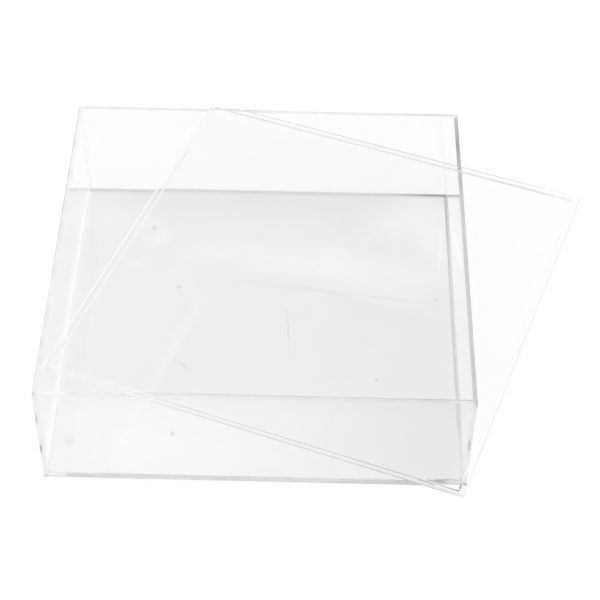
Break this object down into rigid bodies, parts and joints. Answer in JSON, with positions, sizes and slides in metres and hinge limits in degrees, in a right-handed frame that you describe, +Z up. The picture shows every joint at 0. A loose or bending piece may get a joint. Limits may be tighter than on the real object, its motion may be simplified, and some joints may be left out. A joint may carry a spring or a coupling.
{
  "type": "acrylic storage box with lid",
  "caption": "Square open box of clear cemented acrylic sheet, with a flat stepped lid that lifts off, shown lying askew on the rim.",
  "frame": {"origin": "centre of the box's underside, which is the lower face of the base panel", "axes": "+Z up out of the box; +X to the right along the front panel; +Y from the front panel to the back panel"},
  "size_m": [0.2586, 0.2556, 0.0624],
  "materials": {
    "clear_acrylic": "polished",
    "acrylic_cement": "gloss"
  },
  "bodies": {
    "box": {"base_panel": "clear_acrylic", "front_panel": "clear_acrylic", "back_panel": "clear_acrylic", "left_panel": "clear_acrylic", "right_panel": "clear_acrylic", "floor_cement_bead": "acrylic_cement", "corner_cement_beads": "acrylic_cement"},
    "lid": {"lid_locating_plate": "clear_acrylic", "lid_top_plate": "clear_acrylic"}
  },
  "joints": [
    {"name": "lid_lift", "type": "slide", "parent": "box", "child": "lid", "axis": [0, 0, 1], "range_m": [0, 0.12]}
  ]
}
